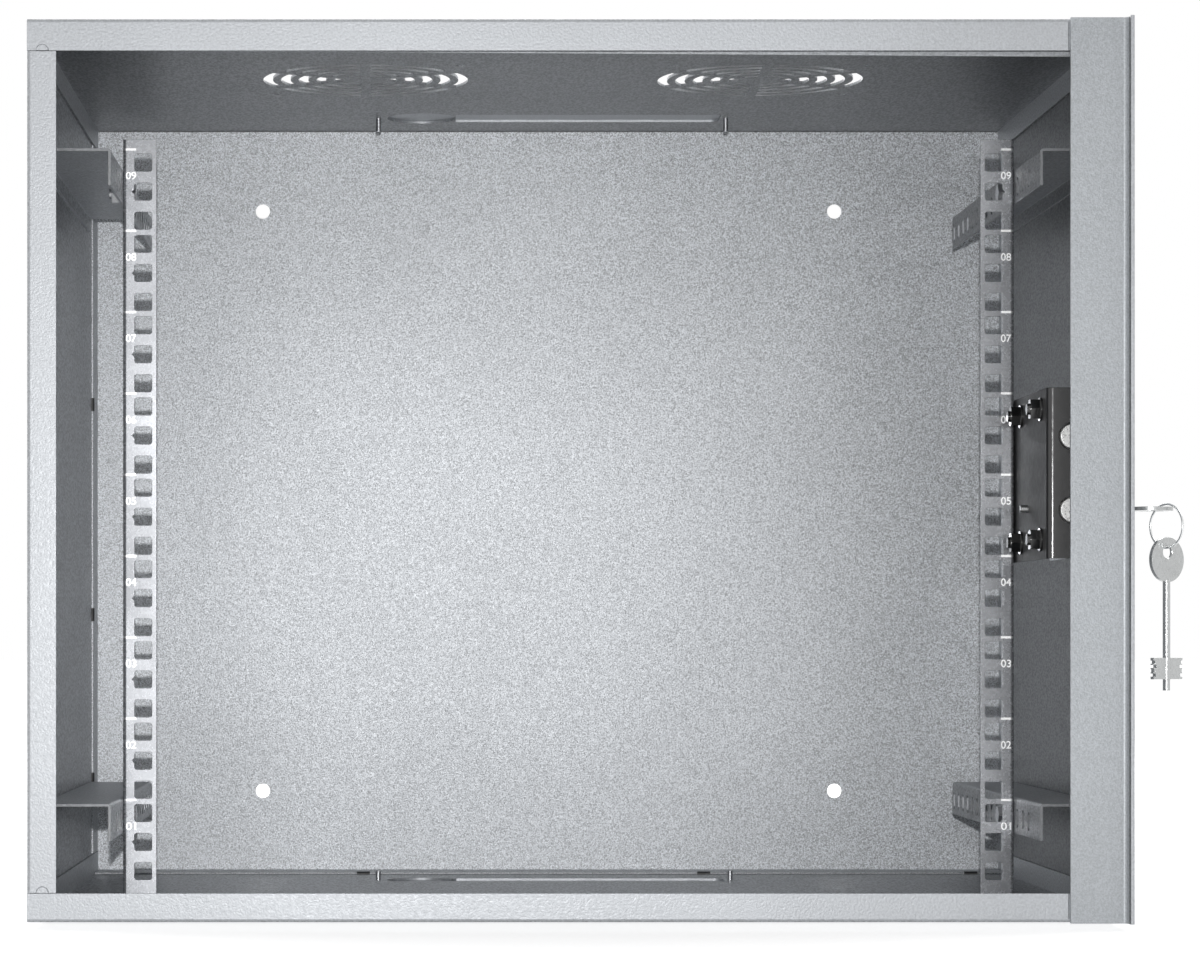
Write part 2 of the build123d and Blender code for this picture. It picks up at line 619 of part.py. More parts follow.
def lock_spacers():
    """Spacers that hold the base plate off the wall and the cover off the base plate."""
    outer = [spacer(BASE_OUT, RIGHT_IN, y, z) for y, z in STUD_PLACES]
    return outer + [spacer(COVER_IN, BASE_IN, y, z) for y, z in STUD_PLACES]


def lock_washers():
    """Washers on the cover."""
    x = (COVER_X - WASHER, COVER_X)
    return [
        rod_x(WASHER_RADIUS, *x, y, z) - rod_x(M6_HOLE_RADIUS, *x, y, z) for y, z in STUD_PLACES
    ]


def lock_nuts():
    """Black nuts that hold the cover."""
    x = (COVER_X - WASHER - M6_NUT, COVER_X - WASHER)
    return [
        hexagon_x(M6_FLATS, *x, y, z) - rod_x(M6_RADIUS, *x, y, z) for y, z in STUD_PLACES
    ]


def deadbolt(z):
    """One round deadbolt, level with the cover when it is drawn back."""
    bolt = rod_y(BOLT_RADIUS, BOLT_X, COVER_Y, BOLT_BACK, z)
    return chamfer(bolt.edges().sort_by(Axis.Y)[0], BOLT_CHAMFER)


def slot_along_y(radius, x0, x1, y0, y1, z):
    """A slot for a post that passes along X."""
    slot = rod_x(radius, x0, x1, y0, z) + rod_x(radius, x0, x1, y1, z)
    return slot + block((x0, x1), (y0, y1), (z - radius, z + radius))


def bolt_carriage():
    """Plate behind the deadbolts, slotted for the key and the guide post, with its pins."""
    x = (CARRIAGE_X, CARRIAGE_X + CARRIAGE)
    plate = block(x, (BOLT_BACK, BOLT_BACK + CARRIAGE_LENGTH), (-CARRIAGE_BOTTOM, CARRIAGE_TOP))
    plate -= slot_along_y(KEY_STEM + SLOT_CLEARANCE, *x, KEY_Y, KEY_Y + BOLT_THROW, KEY_Z)
    wing = KEY_BIT_WIDTH / 2 + SLOT_CLEARANCE
    half = KEY_BIT / 2 + SLOT_CLEARANCE
    plate -= block(x, (KEY_Y - wing, KEY_Y + wing + BOLT_THROW), (KEY_Z - half, KEY_Z + half))
    guide_y = COVER_Y + GUIDE_POST_DEPTH
    guide = GUIDE_POST_RADIUS + SLOT_CLEARANCE / 2
    plate -= slot_along_y(guide, *x, guide_y, guide_y + BOLT_THROW, GUIDE_POST_Z)
    talon_z = KEY_Z + KEY_BIT_WIDTH / 2 + SLOT_CLEARANCE + TALON_RADIUS
    talon_y = KEY_Y + BOLT_THROW / 2
    lever_end = COVER_IN + SLOT_CLEARANCE + LEVERS * (LEVER + LEVER_GAP)
    for y in (talon_y, talon_y - BOLT_THROW):
        plate += rod_x(TALON_RADIUS, lever_end, CARRIAGE_X, y, talon_z)
    stump_x = (COVER_IN + SLOT_CLEARANCE, CARRIAGE_X)
    return plate + rod_x(STUMP_RADIUS, *stump_x, COVER_Y + STUMP_DEPTH, STUMP_Z)


def lock_guide_post():
    """Post on the base plate that guides the carriage."""
    y = COVER_Y + GUIDE_POST_DEPTH
    return rod_x(GUIDE_POST_RADIUS, CARRIAGE_X - SLOT_CLEARANCE, BASE_IN, y, GUIDE_POST_Z)


def lever_pivot_pin():
    """Pin from the base plate to the cover that the levers turn on."""
    return rod_x(LEVER_PIVOT_RADIUS, COVER_IN, BASE_IN, COVER_Y + LEVER_PIVOT_DEPTH, LEVER_PIVOT_Z)


def lever(index):
    """One lever, with its gate for the stump and its belly round the key."""
    start = COVER_IN + SLOT_CLEARANCE + index * (LEVER + LEVER_GAP)
    x = (start, start + LEVER)
    pivot_y = COVER_Y + LEVER_PIVOT_DEPTH
    front = BOLT_BACK + LEVER_FRONT_GAP
    plate = block(x, (front, pivot_y + LEVER_END), (LEVER_BOTTOM, LEVER_TOP))
    plate -= rod_x(KEY_BIT_WIDTH / 2 + SLOT_CLEARANCE, *x, KEY_Y, KEY_Z)
    stump_y = COVER_Y + STUMP_DEPTH
    reach = STUMP_RADIUS + SLOT_CLEARANCE
    gate = (LEVER_GATE_BOTTOM, LEVER_GATE_TOP)
    plate -= block(x, (stump_y - BOLT_THROW - reach, stump_y + reach), gate)
    return plate - rod_x(LEVER_PIVOT_RADIUS + LEVER_RUNNING, *x, pivot_y, LEVER_PIVOT_Z)


def lock_levers():
    """The lever stack."""
    return [lever(index) for index in range(LEVERS)]


def lever_springs():
    """Flat wire springs on top of the levers."""
    springs = []
    pivot_y = COVER_Y + LEVER_PIVOT_DEPTH
    for index in range(LEVERS):
        middle = COVER_IN + SLOT_CLEARANCE + index * (LEVER + LEVER_GAP) + LEVER / 2
        x = (middle - SPRING_WIRE, middle + SPRING_WIRE)
        path = Polyline(
            (pivot_y, LEVER_TOP),
            (pivot_y - SPRING_RISE, LEVER_TOP),
            (pivot_y - 2 * SPRING_RISE, LEVER_TOP + SPRING_RISE / 2),
        )
        strip = Plane.YZ * trace(path, SPRING_WIRE)
        springs.append(Pos(x[0], 0, SPRING_WIRE / 2) * extrude(strip, 2 * SPRING_WIRE))
    return springs


def key_drum():
    """Drum that turns with the key and shuts the keyhole while it does."""
    x = (BASE_OUT + DRUM_END_GAP, RIGHT_IN - DRUM_END_GAP)
    return rod_x(DRUM_RADIUS, *x, KEY_Y, KEY_Z) - keyhole(*x)


def drum_housing():
    """Ring that the drum turns in, between the base plate and the wall."""
    x = (BASE_OUT, RIGHT_IN)
    outer = DRUM_RADIUS + DRUM_RUNNING + HOUSING_WALL
    return rod_x(outer, *x, KEY_Y, KEY_Z) - rod_x(DRUM_RADIUS + DRUM_RUNNING, *x, KEY_Y, KEY_Z)


def blade():
    """A key with its tip at the origin, its stem along +X and its bow flat in the XY plane."""
    stem_end = KEY_LENGTH - 2 * KEY_BOW_RADIUS + KEY_STEM_LAP
    key = rod_x(KEY_STEM, 0, stem_end, 0, 0)
    half = KEY_BIT_WIDTH / 2
    bit = block((KEY_TIP, KEY_TIP + KEY_BIT_LENGTH), (-half, half), (-KEY_BIT / 2, KEY_BIT / 2))
    pitch = KEY_BIT_LENGTH / (len(KEY_BIT_CUTS) + 1)
    for index, cut in enumerate(KEY_BIT_CUTS):
        x = KEY_TIP + pitch * (index + 1)
        for side in (-1, 1):
            y = (side * half - cut, side * half + cut)
            bit -= block((x - KEY_CUT / 2, x + KEY_CUT / 2), y, (-KEY_BIT, KEY_BIT))
    centre = KEY_LENGTH - KEY_BOW_RADIUS
    bow = rod_z(KEY_BOW_RADIUS, centre, 0, -KEY_BOW / 2, KEY_BOW / 2)
    hole_x = KEY_LENGTH - KEY_HOLE_INSET
    bow -= rod_z(KEY_HOLE_RADIUS, hole_x, 0, -KEY_BOW, KEY_BOW)
    rim = bow.edges().filter_by(GeomType.CIRCLE).sort_by(SortBy.RADIUS)[:2]
    return key + bit + chamfer(rim, KEY_HOLE_BEVEL)


def bow_web():
    """Near and far side, along the ring's plane, of the web between the hole and the bow's edge."""
    offset = KEY_BOW_RADIUS - KEY_HOLE_INSET
    along = offset * RING_WAY.X
    across = offset * RING_WAY.Y
    far = -along + sqrt(KEY_BOW_RADIUS**2 - across**2)
    return KEY_HOLE_RADIUS, far


def ring_centre():
    """Centre of the ring, hanging over the web of the bow."""
    near, far = bow_web()
    inside = RING_RADIUS - RING_WIRE - RING_SEAT
    drop = sqrt(inside**2 - ((far - near) / 2) ** 2) - KEY_BOW / 2
    place = Vector(HOLE_X, KEY_Y, KEY_Z) + RING_WAY * ((near + far) / 2)
    return place - Vector(0, 0, drop)


def key_ring():
    """Wire ring through the bow of the key in the lock."""
    centre = ring_centre()
    frame = Plane(origin=centre, x_dir=RING_WAY, z_dir=RING_WAY.cross(Vector(0, 0, 1)))
    wire = Pos(RING_RADIUS, 0) * RegularPolygon(RING_WIRE, RING_WIRE_SIDES)
    return frame * revolve(Plane.XZ * wire, Axis.Z)


def spare_key():
    """Second key, hanging in the ring."""
    centre = ring_centre()
    wire = centre - Vector(0, 0, RING_RADIUS)
    hole = wire - Vector(0, 0, KEY_HOLE_RADIUS - RING_WIRE - RING_SEAT)
    tip = hole - Vector(0, 0, KEY_LENGTH - KEY_HOLE_INSET)
    return Plane(origin=tip, x_dir=(0, 0, 1), z_dir=RING_WAY) * blade()


def back_seam_welds():
    """Tack welds in the corners between the back panel's flanges and the shell."""
    beads = []
    y = (FLANGE_FRONT - 2 * WELD_RADIUS, FLANGE_FRONT)
    for z in WELD_HEIGHTS:
        ends = (z - WELD_LENGTH / 2, z + WELD_LENGTH / 2)
        for corner, inwards in ((LEFT_IN, 1), (RIGHT_IN, -1)):
            x = sorted((corner, corner + inwards * 2 * WELD_RADIUS))
            beads.append(rod_z(WELD_RADIUS, corner, FLANGE_FRONT, *ends) & block(x, y, ends))
    z = (BOTTOM_IN, BOTTOM_IN + 2 * WELD_RADIUS)
    for x in WELD_PLACES:
        ends = (x - WELD_LENGTH / 2, x + WELD_LENGTH / 2)
        beads.append(rod_x(WELD_RADIUS, *ends, FLANGE_FRONT, BOTTOM_IN) & block(ends, y, z))
    return beads


NODES = {
    "top_panel": top_panel(),
    "bottom_panel": bottom_panel(),
    "top_entry_cover": entry_cover(TOP_ENTRY_DEPTH, TOP_OUT),
    "bottom_entry_cover": entry_cover(BOTTOM_ENTRY_DEPTH, BOTTOM_OUT - ENTRY_COVER),
    "cable_cover_screws": cable_cover_screws(),
    "left_side_panel": left_side_panel(),
    "right_side_panel": right_side_panel(),
    "back_panel": back_panel(),
    "back_seam_welds": back_seam_welds(),
    "lock_stile": lock_stile(),
    "top_guide_lip": top_guide_lip(),
    "bottom_guide_lip": bottom_guide_lip(),
    "upper_left_bracket": bracket(-1, BRACKET_TOPS[0]),
    "upper_right_bracket": bracket(1, BRACKET_TOPS[0]),
    "lower_left_bracket": bracket(-1, BRACKET_TOPS[1]),
    "lower_right_bracket": bracket(1, BRACKET_TOPS[1]),
    "left_rack_rail": rail(-1),
    "right_rack_rail": rail(1),
    "rail_bolts": rail_bolts(),
    "rail_washers": rail_washers(),
    "rail_nuts": rail_nuts(),
    "lock_cover": lock_cover(),
    "lock_base_plate": lock_base_plate(),
    "lock_studs": lock_studs(),
    "lock_spacers": lock_spacers(),
    "lock_washers": lock_washers(),
    "lock_nuts": lock_nuts(),
    "lock_guide_post": lock_guide_post(),
    "lever_pivot_pin": lever_pivot_pin(),
    "drum_housing": drum_housing(),
    "key_drum": key_drum(),
    "upper_deadbolt": deadbolt(BOLT_SPACING / 2),
    "lower_deadbolt": deadbolt(-BOLT_SPACING / 2),
    "bolt_carriage": bolt_carriage(),
    "lock_levers": lock_levers(),
    "lever_springs": lever_springs(),
    "key": Pos(KEY_TIP_X, KEY_Y, KEY_Z) * blade(),
    "key_ring": key_ring(),
    "spare_key": spare_key(),
}

for name, shape in NODES.items():
    if isinstance(shape, list):
        shape = Compound(children=[solid for item in shape for solid in item.solids()])
    export_step(shape, f"parts/{name}.step")
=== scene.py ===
import json
import math

import bmesh
import bpy
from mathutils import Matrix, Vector


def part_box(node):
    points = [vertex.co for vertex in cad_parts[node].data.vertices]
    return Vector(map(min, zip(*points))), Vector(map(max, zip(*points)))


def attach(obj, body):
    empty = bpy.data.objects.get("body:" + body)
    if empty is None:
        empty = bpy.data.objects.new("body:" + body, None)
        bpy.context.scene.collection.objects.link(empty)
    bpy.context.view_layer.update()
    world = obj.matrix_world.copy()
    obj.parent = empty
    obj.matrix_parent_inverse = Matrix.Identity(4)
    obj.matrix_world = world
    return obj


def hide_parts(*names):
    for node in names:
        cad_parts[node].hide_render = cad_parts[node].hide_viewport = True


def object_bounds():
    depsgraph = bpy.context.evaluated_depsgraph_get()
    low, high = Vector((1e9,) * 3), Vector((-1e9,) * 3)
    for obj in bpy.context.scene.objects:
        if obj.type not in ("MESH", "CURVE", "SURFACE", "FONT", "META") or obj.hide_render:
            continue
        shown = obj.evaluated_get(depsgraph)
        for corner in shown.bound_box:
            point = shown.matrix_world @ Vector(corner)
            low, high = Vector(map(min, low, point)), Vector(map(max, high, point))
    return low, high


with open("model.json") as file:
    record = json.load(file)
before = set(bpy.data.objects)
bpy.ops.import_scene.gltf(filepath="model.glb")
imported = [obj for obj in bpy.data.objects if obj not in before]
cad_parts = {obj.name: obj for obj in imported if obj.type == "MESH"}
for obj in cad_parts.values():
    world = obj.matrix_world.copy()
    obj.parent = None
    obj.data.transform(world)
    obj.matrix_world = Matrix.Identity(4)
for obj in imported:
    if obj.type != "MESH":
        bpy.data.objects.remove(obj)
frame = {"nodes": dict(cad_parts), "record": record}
nodes = frame["nodes"]
cad_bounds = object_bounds()
scene = bpy.context.scene

# All sizes and places are in metres
MM = 0.001

# Rack rails, from the CAD. The margin is from a rail's top to the top of the highest unit
rail_low, rail_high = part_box("right_rack_rail")
RAIL_FACE_Y = rail_low.y
RAIL_OUTER_X = rail_high.x
RAIL_BEND = 1.8 * MM
RAIL_MARGIN = 6.3 * MM
RACK_TOP = rail_high.z - RAIL_MARGIN
RACK_UNIT = 44.45 * MM
RACK_UNITS = 9

# Print on the rails. The ticks stand a little above the unit lines, and the numbers hang below the ticks
PRINT = 0.04 * MM
PRINT_REAR = 0.1 * PRINT
MARK_RISE = 0.8 * MM
TICK_START = 0.4 * MM
TICK_END = 7.2 * MM
TICK_HALF_HEIGHT = 0.6 * MM
TICK_CELLS = 10
NUMBER_HEIGHT = 4.2 * MM
NUMBER_WIDTH = 5.6 * MM
NUMBER_INSET = 4.4 * MM
NUMBER_DROP = 14.3 * MM
NUMBER_BOLDNESS = 0.012
LONG_EDGE = 1 * MM

# Key ring's wire
RING_RADIUS = 11.7 * MM
RING_WIRE = 0.62 * MM
RING_TURNS = 128
RING_SIDES = 16

# Camera with a shifted lens
CAMERA_PLACE = (-0.0890, -2.266, -0.0890)
CAMERA_LENS = 109.05
CAMERA_SENSOR = 36.0
CAMERA_SHIFT = (0.1619, 0.1396)
CAMERA_CLIP = (0.05, 60)

# Light and floor. The floor glows towards its edge, so that it runs into the background
AMBIENT_TINT = (0.97, 0.985, 1)
AMBIENT_STRENGTH = 0.13
BACKGROUND_STRENGTH = 1.0
WHITE = (1, 1, 1)

FLOOR_SIZE = 30.0
FLOOR_DROP = 0.4 * MM
FLOOR_SEEN = ((0.80, 0.80, 0.80), (0.84, 0.84, 0.84))
FLOOR_LIT = (0.45, 0.45, 0.45)
FLOOR_ROUGHNESS = 0.9
FLOOR_SPECULAR = 0.1
FLOOR_HAZE_SCALE = 3.0
FLOOR_GLOW_FROM = 0.8
FLOOR_GLOW_TO = 5.0
FLOOR_GLOW_NEAR = 0.75
FLOOR_GLOW_FAR = 0.96


# Node helpers
def links(tree, *pairs):
    for source, target in pairs:
        tree.links.new(source, target)


def start_material(name):
    material = bpy.data.materials.new(name)
    material.use_nodes = True
    tree = material.node_tree
    tree.nodes.clear()
    out = tree.nodes.new("ShaderNodeOutputMaterial")
    shader = tree.nodes.new("ShaderNodeBsdfPrincipled")
    links(tree, (shader.outputs["BSDF"], out.inputs["Surface"]))
    where = tree.nodes.new("ShaderNodeTexCoord").outputs["Object"]
    return material, tree, shader, where


# Most of a noise's values lie in this range
NOISE_RANGE = (0.3, 0.7)


def noise(tree, where, scale, detail=3.0, roughness=0.55, stretch=None):
    if stretch is not None:
        mapping = tree.nodes.new("ShaderNodeMapping")
        mapping.inputs["Scale"].default_value = stretch
        links(tree, (where, mapping.inputs["Vector"]))
        where = mapping.outputs["Vector"]
    node = tree.nodes.new("ShaderNodeTexNoise")
    node.inputs["Scale"].default_value = scale
    node.inputs["Detail"].default_value = detail
    node.inputs["Roughness"].default_value = roughness
    links(tree, (where, node.inputs["Vector"]))
    return node.outputs["Fac"]


def spread(tree, value, low, high, to_low=0.0, to_high=1.0):
    """A value's range from low to high, spread over another range and clamped to it."""
    node = tree.nodes.new("ShaderNodeMapRange")
    node.inputs["From Min"].default_value = low
    node.inputs["From Max"].default_value = high
    node.inputs["To Min"].default_value = to_low
    node.inputs["To Max"].default_value = to_high
    links(tree, (value, node.inputs["Value"]))
    return node.outputs["Result"]


def plug(tree, socket, value):
    """Sets a socket to a number, or links it to another node's output."""
    if isinstance(value, (int, float)):
        socket.default_value = value
    else:
        links(tree, (value, socket))


def calc(tree, operation, a, b=0.0):
    node = tree.nodes.new("ShaderNodeMath")
    node.operation = operation
    plug(tree, node.inputs[0], a)
    plug(tree, node.inputs[1], b)
    return node.outputs[0]


def blend_colours(tree, factor, a, b, mode="MIX"):
    factor_socket, colour_a, colour_b, colour_out = 0, 6, 7, 2
    node = tree.nodes.new("ShaderNodeMix")
    node.data_type = "RGBA"
    node.blend_type = mode
    plug(tree, node.inputs[factor_socket], factor)
    for socket, value in ((node.inputs[colour_a], a), (node.inputs[colour_b], b)):
        if isinstance(value, tuple):
            socket.default_value = (*value, 1.0)
        else:
            links(tree, (value, socket))
    return node.outputs[colour_out]


def darker(tree, factor, base, share):
    """The base colour, times share where factor is 1."""
    shaded = blend_colours(tree, 1.0, base, (share, share, share), "MULTIPLY")
    return blend_colours(tree, factor, base, shaded)


BUMP_STRENGTH = 1.0
BEVEL_SAMPLES = 4


def bump(tree, height, distance, edge=None, below=None):
    """A bump on rounded edges of the radius edge, or on the normal below."""
    node = tree.nodes.new("ShaderNodeBump")
    node.inputs["Distance"].default_value = distance
    node.inputs["Strength"].default_value = BUMP_STRENGTH
    links(tree, (height, node.inputs["Height"]))
    if edge:
        soft = tree.nodes.new("ShaderNodeBevel")
        soft.samples = BEVEL_SAMPLES
        soft.inputs["Radius"].default_value = edge
        links(tree, (soft.outputs["Normal"], node.inputs["Normal"]))
    if below:
        links(tree, (below, node.inputs["Normal"]))
    return node.outputs["Normal"]


def facing(tree, axis, low=0.5, high=0.9):
    """1 on the faces that look along an axis of the object, 0 on the others."""
    node = tree.nodes.new("ShaderNodeVectorMath")
    node.operation = "DOT_PRODUCT"
    node.inputs[1].default_value = axis
    links(tree, (tree.nodes.new("ShaderNodeTexCoord").outputs["Normal"], node.inputs[0]))
    return spread(tree, node.outputs["Value"], low, high)


def along(tree, where, axis):
    """One coordinate of a point."""
    node = tree.nodes.new("ShaderNodeSeparateXYZ")
    links(tree, (where, node.inputs[0]))
    return node.outputs[axis]


def linear(*colour):
    """An 8-bit screen colour as a linear one, by the sRGB curve."""
    parts = [value / 255 for value in colour]
    return tuple(v / 12.92 if v <= 0.04045 else ((v + 0.055) / 1.055) ** 2.4 for v in parts)


def times(values, share):
    return tuple(value * share for value in values)


# Materials
FRONT = (0, -1, 0)
LEFT = (-1, 0, 0)
RIGHT = (1, 0, 0)
UP = (0, 0, 1)
DOWN = (0, 0, -1)

COAT_EDGE = 0.35 * MM
COAT_BRIGHTEST = 0.95
DARK_GRAIN = 2.2
LIGHT_GRAIN = 1.6
FINE_SHARE = 0.7
SAND_STRETCH = (1, 0.3, 1)
CLOUD_SCALE = 9.0
CLOUD_SHADE = 0.94
WAVE_SCALE = 17.0
DRAWN_UPWARDS = 0.25
LIP_SMOOTHNESS = 0.7
# Share of brightness left by painted shade on the grilles' cut edges that look to the front
PUNCHED_SHADE = 0.45
GRILLES_START = (-0.397, -0.395)
GRILLES_END = (-0.125, -0.120)
# Share of brightness left by the painted shade in the back panel's corners
CORNER_SHADE_SHARE = 0.25


def punched_edges(tree, where, front):
    """1 on the grilles' cut edges that look to the front, 0 elsewhere."""
    depth = along(tree, where, "Y")
    grilles = calc(tree, "MULTIPLY", spread(tree, depth, *GRILLES_START),
                   spread(tree, depth, *GRILLES_END, to_low=1.0, to_high=0.0))
    return calc(tree, "MULTIPLY", front, grilles)


def powder_coat(name, colour, speckle, grain=800.0, metallic=0.40, rough=0.41, mottle=0.07, height=0.12,
                wave=0.0, drawn=0.0, inside=None, inner_shade=0.0, shaded_corners=None):
    """Satin powder coat with a fine grain, a faint cloudiness and soft edges. With inside, the front lips are
    smoother, the coat is sandier on the faces that look along inside and darker there by a share as painted
    shade, and the grilles' cut edges that look to the front are darkened with painted shade. Given two
    heights, painted shade darkens the coat between them and keeps it dark beyond, for the shadow in the
    corners where the back panel meets the roof and the floor. A wave bends the sheet's gloss, and drawn
    stretches it upwards."""
    material, tree, shader, where = start_material(name)
    fine = noise(tree, where, grain, detail=2.0, roughness=0.6)
    coarse = noise(tree, where, grain / 2, roughness=0.6)
    grains = calc(tree, "ADD", calc(tree, "MULTIPLY", fine, FINE_SHARE),
                  calc(tree, "MULTIPLY", coarse, 1 - FINE_SHARE))
    dark = times(colour, 1 - speckle * DARK_GRAIN)
    light = tuple(min(COAT_BRIGHTEST, c) for c in times(colour, 1 + speckle * LIGHT_GRAIN))
    base = blend_colours(tree, spread(tree, grains, low=0.36, high=0.64), dark, light)
    if inside:
        front = facing(tree, FRONT)
        base = blend_colours(tree, calc(tree, "MULTIPLY", front, LIP_SMOOTHNESS), base, colour)
        # Painted shade on the grilles' cut edges that look to the front
        base = darker(tree, punched_edges(tree, where, front), base, PUNCHED_SHADE)
        sand = noise(tree, where, grain, detail=2.0, roughness=0.6, stretch=SAND_STRETCH)
        # Painted shade: the sanded faces that look inwards are darker by the given share
        sanded_and_shaded = blend_colours(tree, spread(tree, sand, low=0.38, high=0.62), times(dark, 1 - inner_shade),
                               times(light, 1 - inner_shade))
        base = blend_colours(tree, facing(tree, inside), base, sanded_and_shaded)
    # Painted shade in the corners: darker from the first height to the second, and dark beyond
    if shaded_corners:
        height_here = calc(tree, "ABSOLUTE", along(tree, where, "Z"))
        base = darker(tree, spread(tree, height_here, *shaded_corners), base, CORNER_SHADE_SHARE)
    clouds = noise(tree, where, CLOUD_SCALE, roughness=0.5)
    base = darker(tree, spread(tree, clouds, low=0.35, high=0.65), base, CLOUD_SHADE)
    gloss = spread(tree, coarse, *NOISE_RANGE, rough - mottle, rough + mottle)
    surface = bump(tree, grains, height * MM, edge=COAT_EDGE)
    if wave:
        waves = noise(tree, where, WAVE_SCALE, detail=1.0, roughness=0.4)
        surface = bump(tree, waves, wave * MM, below=surface)
    links(tree, (base, shader.inputs["Base Color"]), (gloss, shader.inputs["Roughness"]),
          (surface, shader.inputs["Normal"]))
    shader.inputs["Metallic"].default_value = metallic
    if drawn:
        shader.inputs["Anisotropic"].default_value = drawn
        shader.inputs["Anisotropic Rotation"].default_value = DRAWN_UPWARDS
    return material


METAL_EDGE = 0.25 * MM
STAIN_SCALE = 70.0
STAIN_SHARE = 0.35
STAIN_SHADE = 0.72
METAL_ROUGH = (0.75, 1.3)


def brushed_metal(name, colour, rough, stretch, scale=260.0, height=0.01, contrast=0.12):
    """Plated metal with fine drawn lines and faint stains."""
    material, tree, shader, where = start_material(name)
    lines = noise(tree, where, scale, roughness=0.6, stretch=stretch)
    stain = noise(tree, where, STAIN_SCALE, roughness=0.6)
    base = blend_colours(tree, spread(tree, lines, low=0.35, high=0.65), times(colour, 1 - contrast), colour)
    spots = calc(tree, "MULTIPLY", spread(tree, stain, low=0.55, high=0.75), STAIN_SHARE)
    base = blend_colours(tree, spots, base, times(colour, STAIN_SHADE))
    gloss = spread(tree, lines, *NOISE_RANGE, *times(METAL_ROUGH, rough))
    surface = bump(tree, lines, height * MM, edge=METAL_EDGE)
    links(tree, (base, shader.inputs["Base Color"]), (gloss, shader.inputs["Roughness"]),
          (surface, shader.inputs["Normal"]))
    shader.inputs["Metallic"].default_value = 1.0
    return material


LACQUER_EDGE = 0.5 * MM
PEEL_SCALE = 320.0
PEEL_HEIGHT = 0.006 * MM
DUST_SCALE = 1500.0
DUST_SHARE = 0.25
DUST_GAIN = 4
DUST_GLOW = 0.02
LACQUER_SPECULAR = 0.6
TOP_COAT_ROUGHNESS = 0.08
ALMOST_FLAT = (0.994, 0.9998)
LACQUER_ROUGH = (0.8, 1.5)


def lacquer(name, colour, rough, metallic=0.0, coat=0.0, flats=None, sides=None):
    """Dark glossy lacquer with a slight orange peel and dust. The faces that look to the front, and to the
    left, can have a roughness of their own, so that only the bend between them stays glossy."""
    material, tree, shader, where = start_material(name)
    peel = noise(tree, where, PEEL_SCALE, detail=2.0, roughness=0.5)
    dust = noise(tree, where, DUST_SCALE, roughness=0.7)
    specks = calc(tree, "MULTIPLY", spread(tree, dust, low=0.62, high=0.74), DUST_SHARE)
    base = blend_colours(tree, specks, colour, tuple(c * DUST_GAIN + DUST_GLOW for c in colour))
    gloss = spread(tree, peel, *NOISE_RANGE, *times(LACQUER_ROUGH, rough))
    if flats:
        for axis, its_rough in ((FRONT, flats), (LEFT, sides)):
            flat = facing(tree, axis, *ALMOST_FLAT)
            gloss = calc(tree, "ADD", gloss, calc(tree, "MULTIPLY", flat, its_rough - rough))
    surface = bump(tree, peel, PEEL_HEIGHT, edge=LACQUER_EDGE)
    links(tree, (base, shader.inputs["Base Color"]), (gloss, shader.inputs["Roughness"]),
          (surface, shader.inputs["Normal"]))
    shader.inputs["Metallic"].default_value = metallic
    shader.inputs["Coat Weight"].default_value = coat
    shader.inputs["Coat Roughness"].default_value = TOP_COAT_ROUGHNESS
    shader.inputs["Specular IOR Level"].default_value = LACQUER_SPECULAR
    return material


INK_SCALE = 1400.0
INK_HEIGHT = 0.002 * MM
INK_METALLIC = 0.7
INK_THIN = 0.9
INK_ROUGHNESS = (0.34, 0.42)


def ink(name, colour):
    """White screen print, thin in places."""
    material, tree, shader, where = start_material(name)
    worn = noise(tree, where, INK_SCALE, roughness=0.6)
    base = blend_colours(tree, spread(tree, worn, low=0.3, high=0.6), times(colour, INK_THIN), colour)
    gloss = spread(tree, worn, *NOISE_RANGE, *INK_ROUGHNESS)
    links(tree, (base, shader.inputs["Base Color"]), (gloss, shader.inputs["Roughness"]),
          (bump(tree, worn, INK_HEIGHT), shader.inputs["Normal"]))
    shader.inputs["Metallic"].default_value = INK_METALLIC
    return material


GREY = linear(196, 199, 203)
BACK_GREY = linear(201, 204, 208)
STILE_GREY = linear(184, 188, 192)
RAIL_GREY = linear(174, 176, 180)
# Heights above and below the middle where the back panel's painted corner shade starts and is full
BACK_SHADED_CORNERS = (0.2297, 0.2301)

made = {
    "powder_coat": powder_coat("powder_coat", GREY, speckle=0.08),
    "back_coat": powder_coat("back_coat", BACK_GREY, speckle=0.27, grain=1300.0, height=0.10, shaded_corners=BACK_SHADED_CORNERS),
    "stile_coat": powder_coat("stile_coat", STILE_GREY, speckle=0.07, grain=1200.0),
    "rail_coat": powder_coat("rail_coat", RAIL_GREY, speckle=0.03, metallic=0.60, rough=0.27, mottle=0.02,
                             height=0.01, wave=1.5, drawn=0.4),
    "weld": brushed_metal("weld", (0.10, 0.10, 0.10), rough=0.5, stretch=(1, 1, 1), scale=500.0, height=0.1),
    "zinc": brushed_metal("zinc", (0.62, 0.63, 0.65), rough=0.32, stretch=(1, 1, 6)),
    "lock_black": lacquer("lock_black", (0.07, 0.07, 0.071), rough=0.14, metallic=0.5, flats=0.36, sides=0.5),
    "black_steel": lacquer("black_steel", (0.010, 0.010, 0.010), rough=0.10, coat=1.0),
    "bright_steel": brushed_metal("bright_steel", (0.94, 0.94, 0.93), rough=0.32, stretch=(6, 1, 6),
                                  height=0.001, contrast=0.04),
    "lever_brass": brushed_metal("lever_brass", (0.72, 0.55, 0.26), rough=0.3, stretch=(1, 6, 1)),
    "nickel": brushed_metal("nickel", (0.50, 0.51, 0.51), rough=0.30, stretch=(5, 5, 1), scale=420.0,
                            height=0.001),
}
ring_metal = brushed_metal("ring_wire", (0.80, 0.81, 0.81), rough=0.22, stretch=(4, 4, 4), scale=420.0,
                           height=0.002)
print_ink = ink("print_ink", (0.98, 0.98, 0.98))

for row in frame["record"]["subparts"]:
    node = nodes[row["node"]]
    node.data.materials.clear()
    node.data.materials.append(made[row["material_slot"]])
